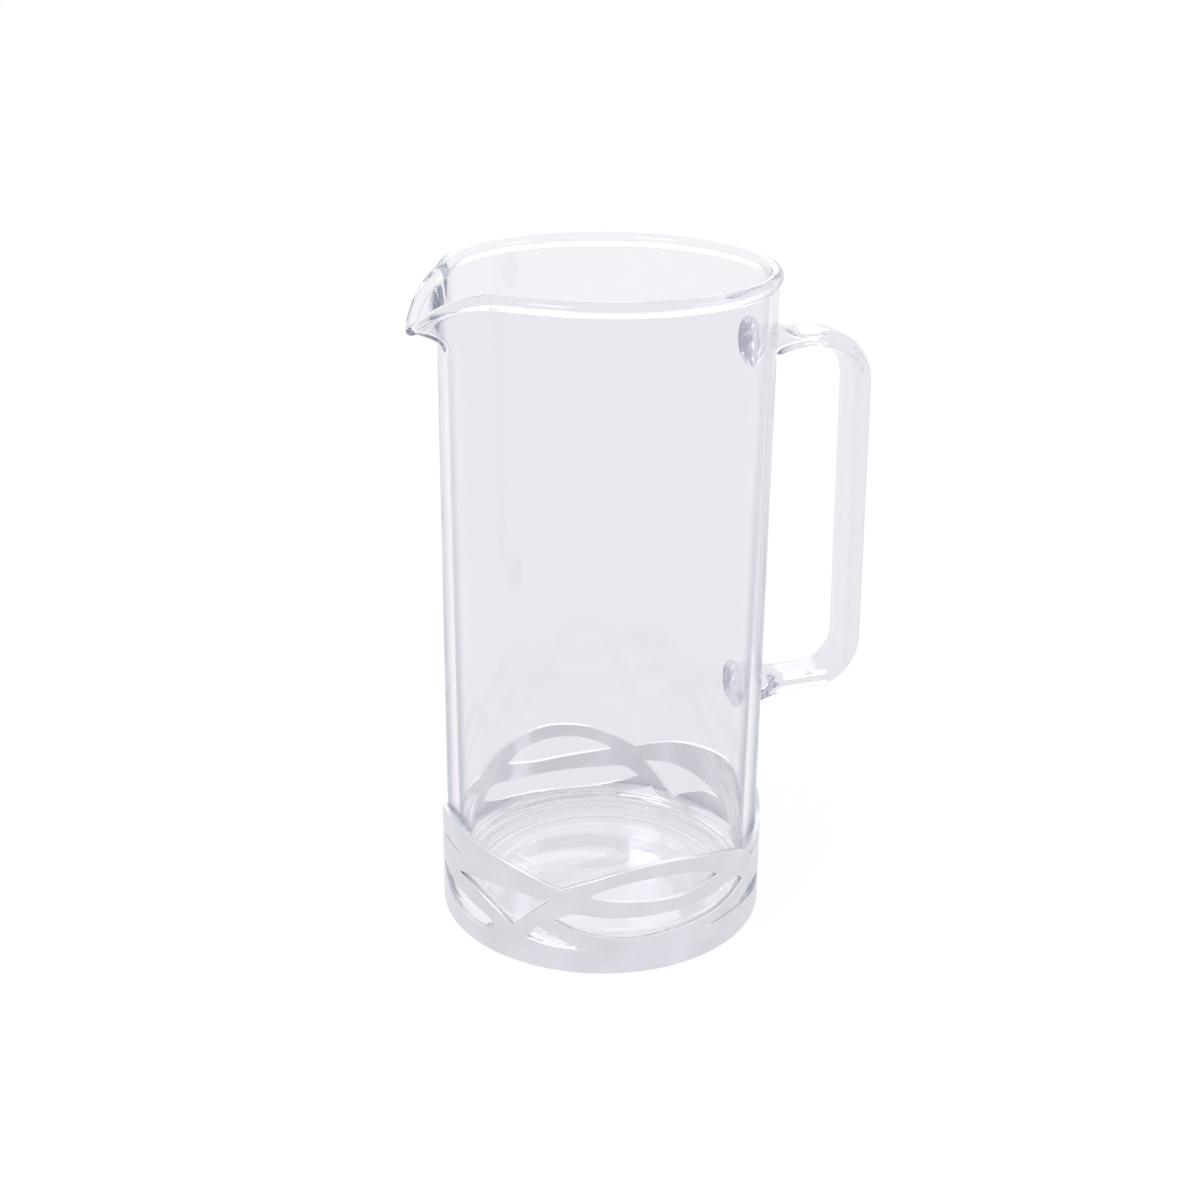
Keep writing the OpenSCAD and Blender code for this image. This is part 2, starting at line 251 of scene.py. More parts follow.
def skin(rings, start, end):
    """Vertices and faces of closed rings joined in order, with a fan to a pole at either end.

    The faces are turned so that the enclosed volume comes out positive, which points them outward.
    """
    n, m, _ = rings.shape
    verts = np.vstack([rings.reshape(-1, 3), [start], [end]])
    i, j = np.meshgrid(np.arange(n - 1), np.arange(m), indexing="ij")
    k = (j + 1) % m
    quads = np.stack([i * m + j, (i + 1) * m + j, (i + 1) * m + k, i * m + k], -1).reshape(-1, 4)
    q = np.arange(m)
    first = np.stack([np.full(m, n * m), q, (q + 1) % m], -1)
    last = np.stack([np.full(m, n * m + 1), (n - 1) * m + (q + 1) % m, (n - 1) * m + q], -1)
    a, b, c, d = (verts[quads[:, s]] for s in range(4))
    volume = np.einsum("ij,ij->", a, np.cross(b, c) + np.cross(c, d))
    faces = [quads, first, last]
    if volume < 0:
        faces = [f[:, ::-1] for f in faces]
    return verts, [tuple(row) for f in faces for row in f.tolist()]


def arc(centre, radius, start, end, steps):
    """Points (r, z) on an arc about a centre between two angles in degrees."""
    a = np.radians(np.linspace(start, end, steps))
    return np.stack([centre[0] + radius * np.cos(a), centre[1] + radius * np.sin(a)], -1)


def vessel_rings(v):
    """Rings of the glass body, from the middle of the underside up the outside and down to the floor.

    At the angle p from the lip, softened near the tip, the rim is drawn out by
    reach*(1 - p/PULL_ANGLE)^PULL_POWER and dips by dip*(1 - p/DIP_ANGLE)^DIP_POWER. The middle of the
    wall rises evenly to the rim while its radius grows as pull*t^RISE_POWER. The two skins stand half
    a wall to either side of it, and an oval bead joins them. Wall and bead thin towards the tip. The
    inside corner is an arc scalloped by |sin|, the chill rings.
    """
    p = np.degrees(np.linspace(-np.pi, np.pi, VESSEL_COLUMNS + 1))[:-1]
    # angles crowd towards the lip, where the wall bends most
    p = p * (LIP_CROWD + (1 - LIP_CROWD) * (np.abs(p) / 180) ** CROWD_POWER)
    soft = np.sqrt(p * p + TIP_SOFT**2) - TIP_SOFT
    pull = v.lip_reach * np.maximum(0, 1 - soft / PULL_ANGLE) ** PULL_POWER
    dip = v.lip_dip * np.maximum(0, 1 - soft / DIP_ANGLE) ** DIP_POWER
    kept = (1 - LIP_THIN * pull / v.lip_reach)[:, None]
    root = v.height - v.lip_height
    rise = v.height - v.bead_height / 2 - dip - root

    def middle(t):
        """Points on the middle of the wall at the share t of its rise to the rim."""
        return np.stack([v.radius - v.wall / 2 + pull * t**RISE_POWER, root + rise * t], -1)

    def direction(t):
        """Unit vectors up the wall: the slope of its middle, made one long."""
        d = np.stack([pull * RISE_POWER * t ** (RISE_POWER - 1), rise], -1)
        return d / np.linalg.norm(d, axis=-1, keepdims=True)

    def outward(t):
        """Unit vectors square to the wall, away from the axis."""
        d = direction(t)
        return np.stack([d[:, 1], -d[:, 0]], -1)

    def half_wall(t):
        """Half of the wall's thickness, which thins towards the lip as t^RISE_POWER."""
        return v.wall / 2 * (1 - (1 - kept) * t**RISE_POWER)

    def everywhere(points):
        """A plain ring all round the axis for each point (r, z)."""
        return [np.broadcast_to(q, (len(p), 2)) for q in points]

    sphere = (v.punt_radius**2 + v.punt_depth**2) / (2 * v.punt_depth)
    hollow_r = v.punt_radius * np.linspace(POLE_SHARE, 1, FLAT_ROWS)
    hollow = np.stack([hollow_r, np.sqrt(sphere**2 - hollow_r**2) - sphere + v.punt_depth], -1)
    heel = arc((v.radius - v.heel, v.heel), v.heel, -90, 0, HEEL_ROWS)
    wall_z = np.linspace(v.heel, root, WALL_ROWS)[1:-1]
    outside = np.stack([np.full_like(wall_z, v.radius), wall_z], -1)
    turned = np.linspace(0, 1, RINGS * RING_STEPS + 1)
    ripple = RING_DEPTH * np.abs(np.sin(np.pi * RINGS * turned))
    corner_centre = (v.radius - v.foot_wall - v.corner, v.floor + v.corner)
    corner = arc(corner_centre, v.corner + ripple, 0, -90, len(turned))
    inner_z = np.linspace(root, v.floor + v.corner, WALL_ROWS)[1:-1]
    thick_thin = (v.radius - v.foot_wall, v.radius - v.wall)
    inner_r = np.interp(inner_z, (v.floor + v.corner, root), thick_thin)
    inside = np.stack([inner_r, inner_z], -1)
    floor_r = (v.radius - v.foot_wall - v.corner) * np.linspace(1, POLE_SHARE, FLAT_ROWS)[1:]
    floor = np.stack([floor_r, np.full_like(floor_r, v.floor)], -1)

    half = v.bead_width / 2
    turn = np.radians(
        np.linspace(
            -np.degrees(np.arccos(1 - v.bead_proud / half)),
            360 - np.degrees(np.arccos(1 - (v.bead_proud + v.wall) / half)),
            BEAD_ROWS,
        )
    )
    out, up = outward(1.0), direction(1.0)
    bead_centre = middle(1.0) + out * (v.bead_proud + v.wall / 2 - half) * kept
    across, along = out * half, up * v.bead_height / 2
    bead = [bead_centre + kept * (across * np.cos(a) + along * np.sin(a)) for a in turn]
    steps = np.linspace(0, BEAD_START, LIP_ROWS)
    rows = (
        everywhere(hollow)
        + everywhere(heel)
        + everywhere(outside)
        + [middle(t) + outward(t) * half_wall(t) for t in steps]
        + bead
        + [middle(t) - outward(t) * half_wall(t) for t in steps[::-1]]
        + everywhere(inside)
        + everywhere(corner)
        + everywhere(floor)
    )
    rz = np.array(rows)
    a = np.radians(p)
    return np.stack([-rz[..., 0] * np.cos(a), -rz[..., 0] * np.sin(a), rz[..., 1]], -1)


def strap_rings(h, wall_radius):
    """Rings of the strap handle: a rounded rectangle along a path of arm, bend, grip, bend and arm.

    The section is the curve |t|^n + |w|^n = 1 across half its thickness and half its width, with n from
    STRAP_POWER to WELD_POWER. Towards a weld it swells by (1 - s/flare)^FLARE_POWER of the way from
    strap to weld, where s is the distance from the wall, and its end leans on the wall's cylinder.
    """
    grip = wall_radius + h.finger_gap + h.thickness / 2
    lean = np.arctan2(h.lean, h.upper_z - h.lower_z - h.bend - h.low_bend)
    arm_end = grip - max(h.bend, h.low_bend) - wall_radius
    sunk = np.linspace(-h.sink, 0, SINK_ROWS)[:-1]
    flared = h.flare * np.linspace(0, 1, BEND_ROWS) ** FLARE_CROWD
    s = np.concatenate([sunk, flared, np.linspace(h.flare, arm_end, ARM_ROWS)[1:-1]])
    turn_1 = np.linspace(0, np.pi / 2 - lean, BEND_ROWS)
    turn_2 = np.linspace(np.pi / 2 - lean, np.pi, BEND_ROWS)
    bend_1 = grip - h.bend + h.bend * np.sin(turn_1)
    bend_2 = grip - h.low_bend + h.lean + h.low_bend * np.sin(turn_2)
    x = np.concatenate([wall_radius + s, bend_1, bend_2, wall_radius + s[::-1]])
    drop_1 = h.upper_z - h.bend + h.bend * np.cos(turn_1)
    drop_2 = h.lower_z + h.low_bend + h.low_bend * np.cos(turn_2)
    z = np.concatenate([np.full_like(s, h.upper_z), drop_1, drop_2, np.full_like(s, h.lower_z)])
    heading = np.concatenate([np.zeros_like(s), turn_1, turn_2, np.full_like(s, np.pi)])
    away = np.full_like(turn_1, h.flare)
    from_wall = np.concatenate([s, away, away, s[::-1]])
    swell = np.clip(1 - np.maximum(from_wall, 0) / h.flare, 0, 1) ** FLARE_POWER
    half_t = (h.thickness + (h.weld_height - h.thickness) * swell) / 2
    half_w = (h.width + (h.weld_width - h.width) * swell) / 2
    power = 2 / (STRAP_POWER + (WELD_POWER - STRAP_POWER) * swell)
    # points crowd towards the rounded corners of the section
    a = np.linspace(0, 2 * np.pi, STRAP_COLUMNS + 1)[:-1]
    c, d = np.cos(a), np.sin(a)
    across = half_t[:, None] * np.sign(c) * np.abs(c) ** power[:, None]
    along_y = half_w[:, None] * np.sign(d) * np.abs(d) ** power[:, None]
    fall = (wall_radius - np.sqrt(wall_radius**2 - along_y**2)) * swell[:, None]
    return np.stack(
        [
            x[:, None] + np.sin(heading)[:, None] * across - fall,
            along_y,
            z[:, None] + np.cos(heading)[:, None] * across,
        ],
        -1,
    )


def curve(knots, u):
    """Heights at angles u on a cubic through knots, each with the slope between its neighbours."""
    x, y = np.array(knots, float).T
    prev = np.maximum(np.arange(len(x)) - 1, 0)
    succ = np.minimum(np.arange(len(x)) + 1, len(x) - 1)
    slope = (y[succ] - y[prev]) / (x[succ] - x[prev])
    i = np.clip(np.searchsorted(x, u, side="left") - 1, 0, len(x) - 2)
    h = x[i + 1] - x[i]
    t = (u - x[i]) / h
    return (
        (2 * t**3 - 3 * t**2 + 1) * y[i]
        + (t**3 - 2 * t**2 + t) * h * slope[i]
        + (3 * t**2 - 2 * t**3) * y[i + 1]
        + (t**3 - t**2) * h * slope[i + 1]
    )


def edge(stretches, u):
    """Heights at angles u on a curve that may have corners between its stretches."""
    starts = np.array([s[0][0] for s in stretches])
    which = np.clip(np.searchsorted(starts, u, side="right") - 1, 0, len(stretches) - 1)
    return np.select([which == k for k in range(len(stretches))], [curve(s, u) for s in stretches])


def ends(opening):
    """First and last angle of an opening."""
    return opening[0][0][0][0], opening[0][-1][-1][0]


def sleeve_surface(s):
    """Vertices, faces and sides of the sleeve: strips of metal between openings, each a carried profile.

    The angle is cut at every tip of an opening. Between two cuts the same openings are crossed all
    along, so each strip is a six-sided chamfered profile from its lower to its upper curve. Where a tip
    falls on the end of a strip, the faces there take in the tip's points, and a small triangle closes
    the chamfers.
    """
    scale = (s.high - s.low) / DRAWN_HEIGHT
    inner, outer, b = s.radius - s.thickness, s.radius, s.chamfer
    cuts = sorted({e % REPEAT for o in OPENINGS for e in ends(o)})
    verts, faces, sides = [], [], []

    def put(u, r, z):
        """Adds the points at angles u, radii r and heights z, and gives their numbers."""
        a = np.radians(PATTERN_TURN + u)
        xyz = np.stack(np.broadcast_arrays(r * np.cos(a), r * np.sin(a), s.low + z), -1)
        start = sum(map(len, verts))
        verts.append(xyz.reshape(-1, 3))
        return start + np.arange(xyz[..., 0].size).reshape(xyz.shape[:-1])

    def tip_points(u, heights, low, high):
        """Numbers of each tip's points: inner edge, chamfers' back, front below and front above."""
        radii = np.array([inner, outer - b, outer, outer])
        within = sorted(t for t in heights if low + b < t < high - b)
        return [put(u, radii, np.array([t, t, t - b, t + b])) for t in within]

    def strip(u, low, high, left_tips, right_tips):
        """Adds one strip between two curves."""
        r = np.array([inner, outer - b, outer, outer, outer - b, inner])[:, None]
        ids = put(u, r, np.stack([low, low, low + b, high - b, high, high]))
        above = np.roll(ids, -1, 0)
        cells = np.stack([ids[:, :-1], ids[:, 1:], above[:, 1:], above[:, :-1]], -1)
        cut_cells = cells[[0, 1, 3, 4]].reshape(-1, 4)
        front, back = cells[2], cells[5]
        left = tip_points(u[0], left_tips, low[0], high[0])
        right = tip_points(u[-1], right_tips, low[-1], high[-1])
        corners = [(q[2], q[3], q[1]) for q in left] + [(q[3], q[2], q[1]) for q in right]
        last = len(front) - 1
        fronts, backs = front[1:last].tolist(), back[1:last].tolist()
        for column in {0, last}:
            start = left if column == 0 else []
            end = right if column == last else []
            f, k = front[column], back[column]
            rising = [w for q in end for w in (q[2], q[3])]
            falling = [w for q in start[::-1] for w in (q[3], q[2])]
            fronts.append((f[0], f[1], *rising, f[2], f[3], *falling))
            inner_end, inner_start = [q[0] for q in end[::-1]], [q[0] for q in start]
            backs.append((k[0], k[1], *inner_end, k[2], k[3], *inner_start))
        for group, side in ((fronts, FRONT), (cut_cells.tolist() + corners, CUT), (backs, BACK)):
            faces.extend(group)
            sides.extend([side] * len(group))

    for turned in np.arange(0, 360, REPEAT):
        for cut, after in zip(cuts, cuts[1:] + [cuts[0] + REPEAT]):
            u = np.arange(cut, after + COLUMN_STEP / 2, COLUMN_STEP)
            crossed, left_tips, right_tips = [], [], []
            for o in OPENINGS:
                first, last = ends(o)
                for shift in (-REPEAT, 0, REPEAT):
                    if first < (cut + after) / 2 + shift < last:
                        crossed.append([edge(o[0], u + shift) * scale, edge(o[1], u + shift) * scale])
                if first % REPEAT == after % REPEAT:
                    right_tips.append(o[0][0][0][1] * scale)
                if last % REPEAT == cut % REPEAT:
                    left_tips.append(o[0][-1][-1][1] * scale)
            crossed.sort(key=lambda c: c[0][len(u) // 2])
            top = edge(CREST, np.where(u > REPEAT, u - REPEAT, u)) * scale
            levels = [np.zeros_like(u)] + [z for c in crossed for z in c] + [top]
            for low, high in zip(levels[::2], levels[1::2]):
                strip(u + turned, low, high, left_tips, right_tips)
    return np.vstack(verts), faces, sides


def add(tree, kind, inputs=None, **settings):
    """Adds a node, applies its settings, and sets each input, or links it where a socket is given."""
    node = tree.nodes.new(kind)
    for key, value in settings.items():
        setattr(node, key, value)
    for key, value in (inputs or {}).items():
        if isinstance(value, bpy.types.NodeSocket):
            tree.links.new(value, node.inputs[key])
        else:
            node.inputs[key].default_value = value
    return node


def new_material(name):
    """An empty node material and its output."""
    material = bpy.data.materials.new(name)
    material.use_nodes = True
    material.node_tree.nodes.clear()
    return material, material.node_tree, add(material.node_tree, "ShaderNodeOutputMaterial")


# Glass: refraction, range of Layer Weight's Facing over which the painted edge shade comes in, and
# height up to which the edges keep the whole of that painted shade.
GLASS_IOR, SKIM_FROM, SKIM_TO, FULL_EDGE_SHADE = 1.5, 0.66, 0.86, 60 * MM
# How strongly each glass absorbs, the share of its painted edge shade left at the rim, and its waves'
# width and height.
BODY_GLASS = {"density": 1.2, "top_shade_share": 0.3, "wave": 22 * MM, "wave_height": 0.03 * MM}
STRAP_GLASS = {"density": 2.5, "top_shade_share": 1.0, "wave": 12 * MM, "wave_height": 0.02 * MM}


# Soda-lime glass, blown and fire-polished: clear and faintly cool, with slow waves left by the tools in
# its skin. Where the eye skims along it, painted shade turns it greyer and bluer, most of all near the
# foot, in place of dark surroundings seen in its edges.
def clear_glass(name, tint, rim, depth, density, top_shade_share, wave, wave_height):
    """Polished glass whose skin waves gently over the given width and height.

    The painted edge shade falls to the given top share of itself from the thick foot to the thin rim.
    """
    material, tree, output = new_material(name)
    place = add(tree, "ShaderNodeTexCoord").outputs["Object"]
    waves = add(tree, "ShaderNodeTexNoise", {"Vector": place, "Scale": 1 / wave, "Detail": 1.0})
    relief = {"Height": waves.outputs["Fac"], "Strength": 1.0, "Distance": wave_height}
    bump = add(tree, "ShaderNodeBump", relief)
    skim = add(tree, "ShaderNodeLayerWeight", {"Blend": 0.5})
    up = add(tree, "ShaderNodeSeparateXYZ", {"Vector": place}).outputs["Z"]
    # the painted edge shade is whole up to this height and fades towards the rim
    edge_shade_height = {"From Min": FULL_EDGE_SHADE, "From Max": VESSEL_TOP, "To Min": 1.0, "To Max": top_shade_share}
    most = add(tree, "ShaderNodeMapRange", {"Value": up, **edge_shade_height}).outputs["Result"]
    grade = {"From Min": SKIM_FROM, "From Max": SKIM_TO, "To Min": 0.0, "To Max": most}
    grade["Value"] = skim.outputs["Facing"]
    share = add(tree, "ShaderNodeMapRange", grade, interpolation_type="SMOOTHSTEP")
    # painted shade: where the eye skims along the glass, the edges take the edge colour in place of dark
    # surroundings seen in them
    mix = {MIX_SHARE: share.outputs["Result"], MIX_A: (*tint, 1.0), MIX_B: (*rim, 1.0)}
    tint_and_edge_shade = add(tree, "ShaderNodeMix", mix, data_type="RGBA").outputs[MIX_RESULT]
    glass = {"Base Color": tint_and_edge_shade, "Roughness": 0.0, "IOR": GLASS_IOR, "Transmission Weight": 1.0}
    shader = add(tree, "ShaderNodeBsdfPrincipled", {**glass, "Normal": bump.outputs["Normal"]})
    absorb = add(tree, "ShaderNodeVolumeAbsorption", {"Color": (*depth, 1.0), "Density": density})
    tree.links.new(shader.outputs["BSDF"], output.inputs["Surface"])
    tree.links.new(absorb.outputs["Volume"], output.inputs["Volume"])
    return material


# Brushed lines: their length, spacing and relief, and how much of the relief shows. Real lines are near
# 0.05 mm apart, and these are five times as coarse so that they show.
LINE_LENGTH, LINE_SPACING, LINE_RELIEF, LINE_STRENGTH = 22.2 * MM, 0.25 * MM, 0.02 * MM, 0.25
# Clouds in the finish: their width, the range of their noise and the share of the colour left in them.
CLOUD_WIDTH, CLOUD_FROM, CLOUD_TO, CLOUD_LEAST = 14 * MM, 0.3, 0.7, 0.9
# Roughness of the satin, the range of lines and clouds that gives it, and what polishing takes off it.
SATIN_SMOOTH, SATIN_ROUGH, SATIN_FROM, SATIN_TO, POLISH = 0.30, 0.42, 0.6, 1.4, 0.28


# Silver-plated strip, satin-brushed round the foot: fine lines along the band blur its reflections.
def satin_silver(finish):
    """Brushed metal: lines drawn out along the band, in the roughness and in the relief.

    The cut edges carry a painted highlight, and the inner face, against the glass, is polished, has no
    clouds and is painted lighter than the outer face as light on it.
    """
    material, tree, output = new_material("Satin silver")
    place = add(tree, "ShaderNodeTexCoord").outputs["Object"]
    cells = (1 / LINE_LENGTH, 1 / LINE_LENGTH, 1 / LINE_SPACING)
    drawn = add(tree, "ShaderNodeMapping", {"Vector": place, "Scale": cells}).outputs["Vector"]
    lines = add(tree, "ShaderNodeTexNoise", {"Vector": drawn, "Scale": 1.0, "Detail": 3.0})
    clouds = add(tree, "ShaderNodeTexNoise", {"Vector": place, "Scale": 1 / CLOUD_WIDTH, "Detail": 2.0})
    both = {0: lines.outputs["Fac"], 1: clouds.outputs["Fac"]}
    uneven = add(tree, "ShaderNodeMath", both, operation="ADD").outputs["Value"]
    side = add(tree, "ShaderNodeAttribute", attribute_name=SIDE).outputs["Fac"]
    satin = {"From Min": SATIN_FROM, "From Max": SATIN_TO, "To Min": SATIN_SMOOTH, "To Max": SATIN_ROUGH}
    brushed = add(tree, "ShaderNodeMapRange", {"Value": uneven, **satin}).outputs["Result"]
    inside = add(tree, "ShaderNodeMath", {0: side, 1: (CUT + BACK) / 2}, operation="GREATER_THAN")
    polish = {0: inside.outputs["Value"], 1: -POLISH, 2: brushed}
    rough = add(tree, "ShaderNodeMath", polish, operation="MULTIPLY_ADD").outputs["Value"]
    # painted light: the inner face is left without clouds, which keeps it lighter
    clear = {0: inside.outputs["Value"], 1: 1 - CLOUD_LEAST, 2: CLOUD_LEAST}
    least = add(tree, "ShaderNodeMath", clear, operation="MULTIPLY_ADD").outputs["Value"]
    cloudy = {"From Min": CLOUD_FROM, "From Max": CLOUD_TO, "To Min": least, "To Max": 1.0}
    cloudy["Value"] = clouds.outputs["Fac"]
    shade = add(tree, "ShaderNodeMapRange", cloudy).outputs["Result"]
    tones = add(tree, "ShaderNodeValToRGB", {"Fac": side})
    ramp = tones.color_ramp
    ramp.interpolation = "CONSTANT"
    ramp.elements[0].color = (*finish.silver, 1.0)
    # painted light: the inner face takes a lighter colour than the satin outer face of the same metal
    ramp.elements[1].position = (CUT + BACK) / 2
    ramp.elements[1].color = (*finish.silver_inner_lit, 1.0)
    # painted highlight: the cut edges get a brighter colour than the satin face
    ramp.elements.new((FRONT + CUT) / 2).color = (*finish.silver_cut_highlight, 1.0)
    relief = {"Height": lines.outputs["Fac"], "Strength": LINE_STRENGTH, "Distance": LINE_RELIEF}
    bump = add(tree, "ShaderNodeBump", relief)
    mix = {MIX_SHARE: 1.0, MIX_A: tones.outputs["Color"], MIX_B: shade}
    worn = add(tree, "ShaderNodeMix", mix, data_type="RGBA", blend_type="MULTIPLY").outputs[MIX_RESULT]
    metal = {"Base Color": worn, "Metallic": 1.0, "Roughness": rough}
    shader = add(tree, "ShaderNodeBsdfPrincipled", {**metal, "Normal": bump.outputs["Normal"]})
    tree.links.new(shader.outputs["BSDF"], output.inputs["Surface"])
    return material


class CARAFE_OT_vessel(bpy.types.Operator):
    """Builds the glass body with its bead and lip"""

    bl_idname = "carafe.vessel"
    bl_label = "Glass Body"

    def execute(self, context):
        settings = context.scene.carafe
        v = settings.vessel
        tints = settings.finish
        name = "Clear soda-lime glass"
        material = clear_glass(name, tints.glass, tints.rim, tints.depth, **BODY_GLASS)
        verts, faces = skin(vessel_rings(v), (0, 0, v.punt_depth), (0, 0, v.floor))
        add_piece("glass_body", verts, faces, material, "vessel")
        return {"FINISHED"}


class CARAFE_OT_handle(bpy.types.Operator):
    """Builds the strap handle with its two welds"""

    bl_idname = "carafe.handle"
    bl_label = "Strap Handle"

    def execute(self, context):
        settings = context.scene.carafe
        h, wall = settings.handle, settings.vessel.radius
        tints = settings.finish
        name = "Drawn soda-lime glass"
        material = clear_glass(name, tints.strap, tints.strap_edge_shade, tints.depth, **STRAP_GLASS)
        rings = strap_rings(h, wall)
        x = wall - h.sink
        verts, faces = skin(rings, (x, 0, h.upper_z), (x, 0, h.lower_z))
        add_piece("strap_handle", verts, faces, material, "handle")
        return {"FINISHED"}


class CARAFE_OT_sleeve(bpy.types.Operator):
    """Builds the openwork sleeve of crossing waves"""

    bl_idname = "carafe.sleeve"
    bl_label = "Openwork Sleeve"

    def execute(self, context):
        settings = context.scene.carafe
        verts, faces, sides = sleeve_surface(settings.sleeve)
        # points that two strips share become one
        grid = np.round(verts / MERGE)
        _, first, number = np.unique(grid, axis=0, return_index=True, return_inverse=True)
        number = number.reshape(-1)
        faces = [tuple(number[list(f)].tolist()) for f in faces]
        metal = satin_silver(settings.finish)
        piece = add_piece("wave_sleeve", verts[first], faces, metal, "sleeve")
        piece.data.attributes.new(SIDE, "FLOAT", "FACE").data.foreach_set("value", sides)
        piece.data.set_sharp_from_angle(angle=np.radians(SHARP))
        return {"FINISHED"}


# Photograph's camera, in the part's frame: turned this many degrees round from the front, aimed by
# these angles in radians, with its focal length in pixels of the picture.
CAMERA_TURN = -22.0
CAMERA_PLACE = (7.65 * MM, -551.22 * MM, 331.39 * MM)
CAMERA_PITCH, CAMERA_YAW, CAMERA_ROLL = 0.3877, -0.0162, 0.0113
CAMERA_FOCAL, IMAGE_SIDE, SENSOR = 1852.7, 1200, 36.0
CAMERA_NEAR, CAMERA_FAR = 0.01, 50.0

# Floor: half its side in metres, its matt colour for light, and for seen rays a glow and a matt share
# that come to white together where no shadow falls.
FLOOR_HALF, FLOOR_MATT, FLOOR_GLOW, FLOOR_SHADOW = 6.0, "#E7E7E7", 0.9, "#5D5D5D"
# World: its colour, the strength of its light on the object, and its strength for seen rays.
WORLD_COLOUR, WORLD_LIGHT, WORLD_SEEN = "#FFFFFF", 0.9, 1.0
# Soft lights as name, place, side in metres and power in watts, and the point that they face.
SOFTBOXES = (
    ("softbox_left", (-0.9, -0.5, 0.9), 0.6, 4.0),
    ("softbox_right", (0.9, -0.7, 0.7), 0.6, 1.0),
    ("softbox_back", (0.9, 2.2, 1.1), 1.1, 4.0),
)
BODY_MIDDLE = (0, 0, 0.11)
# Turns that light may take as it runs along the wall and the strap inside the glass.
BOUNCES = 512


def photo_camera():
    """A camera at the photograph's place: yaw, pitch down and roll, then a turn about the axis."""
    cy, sy = np.cos(CAMERA_YAW), np.sin(CAMERA_YAW)
    cp, sp = np.cos(CAMERA_PITCH), np.sin(CAMERA_PITCH)
    cr, sr = np.cos(CAMERA_ROLL), np.sin(CAMERA_ROLL)
    ahead = Vector((sy * cp, cy * cp, -sp))
    right = Vector((cy, -sy, 0))
    up = right.cross(ahead)
    right, up = right * cr + up * sr, up * cr - right * sr
    axes = Matrix((right, up, -ahead)).transposed().to_4x4()
    camera = bpy.data.objects.new("photo_camera", bpy.data.cameras.new("photo_camera"))
    camera.data.sensor_width = SENSOR
    camera.data.lens = CAMERA_FOCAL / IMAGE_SIDE * SENSOR
    camera.data.clip_start, camera.data.clip_end = CAMERA_NEAR, CAMERA_FAR
    turn = Matrix.Rotation(np.radians(CAMERA_TURN), 4, "Z")
    camera.matrix_world = turn @ Matrix.Translation(CAMERA_PLACE) @ axes
    bpy.context.scene.collection.objects.link(camera)
    bpy.context.scene.camera = camera


def seen_rays(tree):
    """A socket that is 1 for rays from the camera and for those that metal and glass send on."""
    path = add(tree, "ShaderNodeLightPath")
    glossy = add(
        tree,
        "ShaderNodeMath",
        {0: path.outputs["Is Camera Ray"], 1: path.outputs["Is Glossy Ray"]},
        operation="MAXIMUM",
    )
    return add(
        tree,
        "ShaderNodeMath",
        {0: glossy.outputs["Value"], 1: path.outputs["Is Transmission Ray"]},
        operation="MAXIMUM",
    ).outputs["Value"]


# White card, matt: it shows no gloss, and the object's shadow falls on it faint and soft.
def studio_floor(tint):
    """A wide pale floor: seen rays get white less the object's shadow, all others a plain matt floor."""
    material, tree, output = new_material("Matt white card")
    matt = add(tree, "ShaderNodeBsdfDiffuse", {"Color": (*linear(FLOOR_MATT), 1.0)})
    glow = add(tree, "ShaderNodeEmission", {"Color": (*tint, 1.0), "Strength": FLOOR_GLOW})
    shadow = add(tree, "ShaderNodeBsdfDiffuse", {"Color": (*linear(FLOOR_SHADOW), 1.0)})
    shown = add(tree, "ShaderNodeAddShader", {0: glow.outputs[0], 1: shadow.outputs[0]})
    sorts = {0: seen_rays(tree), 1: matt.outputs[0], 2: shown.outputs[0]}
    pick = add(tree, "ShaderNodeMixShader", sorts)
    tree.links.new(pick.outputs[0], output.inputs["Surface"])
    mesh = bpy.data.meshes.new("studio_floor")
    corners = [(x * FLOOR_HALF, y * FLOOR_HALF, 0) for x, y in ((-1, -1), (1, -1), (1, 1), (-1, 1))]
    mesh.from_pydata(corners, [], [(0, 1, 2, 3)])
    mesh.materials.append(material)
    floor = bpy.data.objects.new("studio_floor", mesh)
    bpy.context.scene.collection.objects.link(floor)


def studio_world():
    """White for seen rays, a soft even light for the rest."""
    world = bpy.data.worlds.new("Studio")
    world.use_nodes = True
    tree = world.node_tree
    tree.nodes.clear()
    output = add(tree, "ShaderNodeOutputWorld")
    white = (*linear(WORLD_COLOUR), 1.0)
    light = add(tree, "ShaderNodeBackground", {"Color": white, "Strength": WORLD_LIGHT})
    shown = add(tree, "ShaderNodeBackground", {"Color": white, "Strength": WORLD_SEEN})
    sorts = {0: seen_rays(tree), 1: light.outputs[0], 2: shown.outputs[0]}
    pick = add(tree, "ShaderNodeMixShader", sorts)
    tree.links.new(pick.outputs[0], output.inputs["Surface"])
    bpy.context.scene.world = world


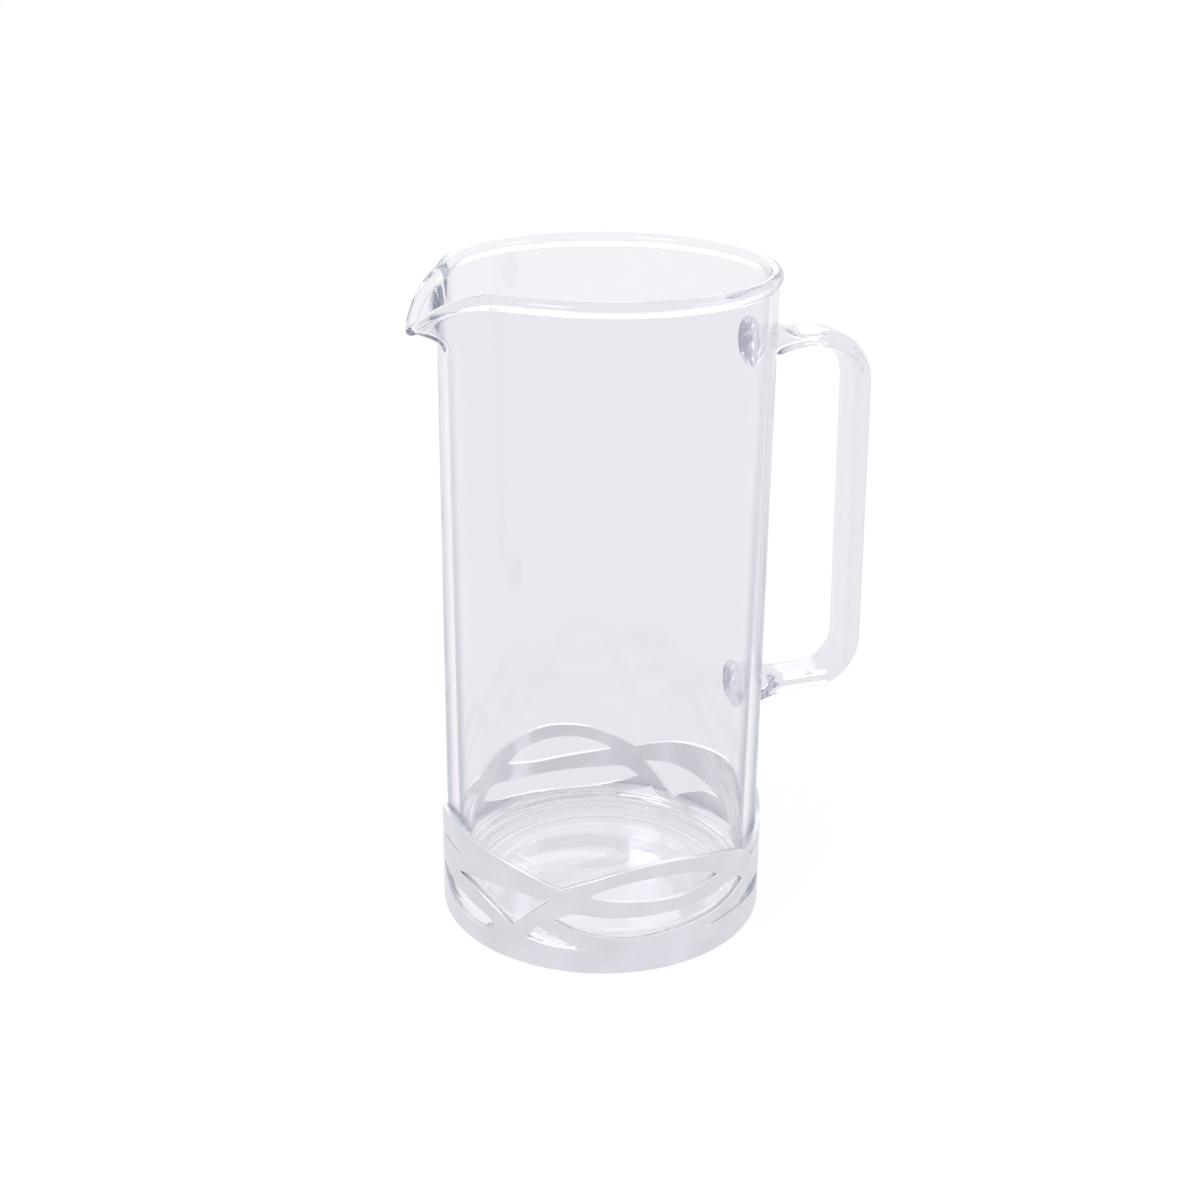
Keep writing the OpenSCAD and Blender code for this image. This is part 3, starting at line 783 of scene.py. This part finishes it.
def softbox(name, place, size, power):
    """A square soft light that faces the middle of the body."""
    light = bpy.data.lights.new(name, "AREA")
    light.size = size
    light.energy = power
    lamp = bpy.data.objects.new(name, light)
    lamp.location = place
    lamp.rotation_euler = (Vector(BODY_MIDDLE) - Vector(place)).to_track_quat("-Z", "Y").to_euler()
    lamp.visible_camera = False
    bpy.context.scene.collection.objects.link(lamp)


class CARAFE_OT_stage(bpy.types.Operator):
    """Sets up the floor, the soft light and the photograph's camera"""

    bl_idname = "carafe.stage"
    bl_label = "Studio"

    def execute(self, context):
        scene = context.scene
        scene.view_settings.view_transform = "Standard"
        studio_floor(scene.carafe.finish.floor)
        studio_world()
        for box in SOFTBOXES:
            softbox(*box)
        scene.cycles.max_bounces = BOUNCES
        scene.cycles.transmission_bounces = BOUNCES
        scene.cycles.glossy_bounces = BOUNCES
        photo_camera()
        return {"FINISHED"}


class CARAFE_PT_sidebar(bpy.types.Panel):
    """Lists the carafe's pieces and their sizes"""

    bl_idname = "CARAFE_PT_sidebar"
    bl_label = "Carafe"
    bl_space_type = "VIEW_3D"
    bl_region_type = "UI"
    bl_category = "Carafe"

    def draw(self, context):
        settings = context.scene.carafe
        for operator in OPERATORS:
            self.layout.operator(operator.bl_idname)
        for name in ("vessel", "handle", "sleeve", "finish"):
            group = getattr(settings, name)
            box = self.layout.box()
            box.label(text=name.title())
            for key in group.__annotations__:
                box.prop(group, key)


OPERATORS = (CARAFE_OT_vessel, CARAFE_OT_handle, CARAFE_OT_sleeve, CARAFE_OT_stage)
CLASSES = (
    CARAFE_PG_vessel,
    CARAFE_PG_handle,
    CARAFE_PG_sleeve,
    CARAFE_PG_finish,
    CARAFE_PG_settings,
    *OPERATORS,
    CARAFE_PT_sidebar,
)


def register():
    """Registers the classes and gives every scene the carafe's settings."""
    for cls in CLASSES:
        bpy.utils.register_class(cls)
    bpy.types.Scene.carafe = PointerProperty(type=CARAFE_PG_settings)


def unregister():
    """Takes the settings and the classes away again."""
    del bpy.types.Scene.carafe
    for cls in reversed(CLASSES):
        bpy.utils.unregister_class(cls)


def main():
    """Builds the carafe and its stage."""
    register()
    bpy.ops.carafe.vessel()
    bpy.ops.carafe.handle()
    bpy.ops.carafe.sleeve()
    bpy.ops.carafe.stage()


if __name__ == "__main__":
    main()
